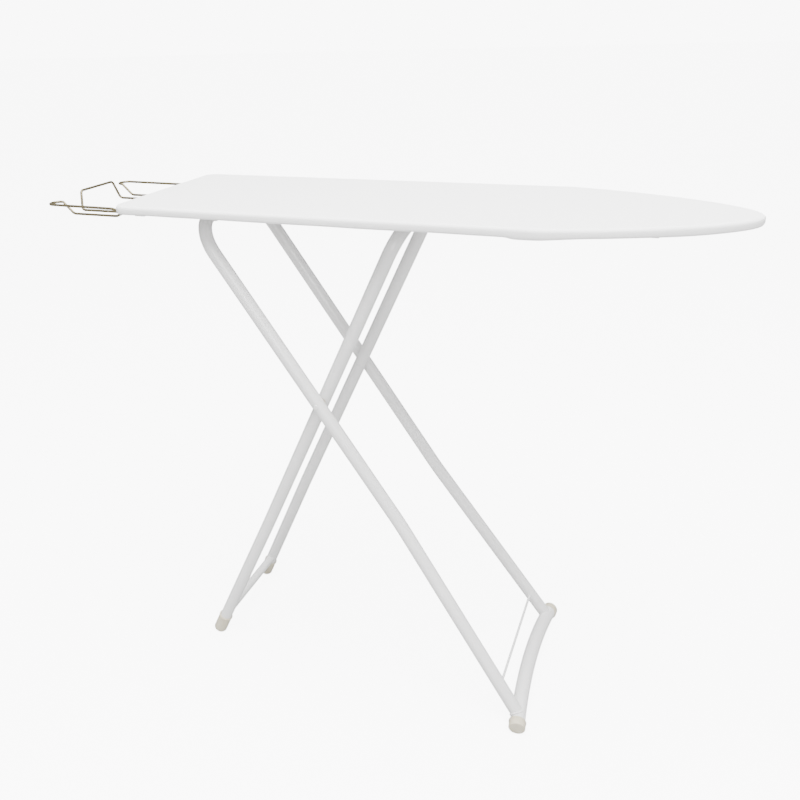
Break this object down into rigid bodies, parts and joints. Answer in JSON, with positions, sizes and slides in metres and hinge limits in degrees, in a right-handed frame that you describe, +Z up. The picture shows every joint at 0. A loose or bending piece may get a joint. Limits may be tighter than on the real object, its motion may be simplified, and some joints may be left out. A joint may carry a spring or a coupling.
{
  "type": "ironing board",
  "caption": "Folding ironing board with a padded cloth-covered top, crossed tube legs, plastic feet and a bent-wire iron rest.",
  "frame": {"origin": "bottom centre of the whole board with its legs open, on the floor", "axes": "+X from the iron rest towards the rounded nose, +Y to the far long side, +Z up"},
  "size_m": [1.105, 0.328, 0.8467],
  "materials": {
    "cover_fabric": "plain woven white cloth",
    "pad_foam": "thin felt pad",
    "painted_steel": "glossy light grey-white powder coat",
    "plated_wire": "yellowish plated wire",
    "foot_plastic": "smooth off-white plastic",
    "rivet_steel": "zinc-plated steel",
    "spring_steel": "dark spring steel"
  },
  "bodies": {
    "board": {"cover": "cover_fabric", "pad": "pad_foam", "deck": "painted_steel", "rim_rear": "painted_steel", "rim_nose": "painted_steel", "rib_tail": "painted_steel", "rib_hinge": "painted_steel", "rib_middle": "painted_steel", "rib_nose": "painted_steel", "hinge_saddle_near": "painted_steel", "hinge_saddle_far": "painted_steel", "guide_strap": "painted_steel", "iron_rest_wire": "plated_wire", "rest_clamp_plate": "painted_steel", "rest_screw_near": "rivet_steel", "rest_screw_far": "rivet_steel"},
    "outer_leg": {"outer_leg_frame": "painted_steel", "outer_foot_bar": "painted_steel", "outer_foot_cap_near": "foot_plastic", "outer_foot_cap_far": "foot_plastic", "outer_brace_rod": "painted_steel"},
    "inner_leg": {"inner_leg_frame": "painted_steel", "inner_cross_tube": "painted_steel", "inner_foot_cap_near": "foot_plastic", "inner_foot_cap_far": "foot_plastic", "pivot_rivet_near": "painted_steel", "pivot_rivet_far": "painted_steel", "pivot_washer_near": "foot_plastic", "pivot_washer_far": "foot_plastic"},
    "glide": {"glide_clip": "foot_plastic", "glide_ear": "foot_plastic", "lever_pin": "rivet_steel"},
    "lever": {"lock_lever": "spring_steel"}
  },
  "joints": [
    {"name": "fold", "type": "hinge", "parent": "board", "child": "outer_leg", "pos_m": [-0.2678, 0, 0.816], "axis": [0, -1, 0], "range_deg": [0, 52.1]},
    {"name": "scissor", "type": "hinge", "parent": "outer_leg", "child": "inner_leg", "pos_m": [-0.0659, 0, 0.5258], "axis": [0, 1, 0], "range_deg": [0, 114.08]},
    {"name": "glide_turn", "type": "hinge", "parent": "inner_leg", "child": "glide", "pos_m": [0.069, 0, 0.816], "axis": [0, -1, 0], "range_deg": [0, 61.98]},
    {"name": "lever_press", "type": "hinge", "parent": "glide", "child": "lever", "pos_m": [0.093, 0, 0.817], "axis": [0, 1, 0], "range_deg": [0, 18], "stiffness_Nm_per_rad": 0.3}
  ],
  "couplings": [
    {"joint": "scissor", "follows": "fold", "ratio": 2.1838},
    {"joint": "glide_turn", "follows": "fold", "ratio": 1.1838}
  ]
}
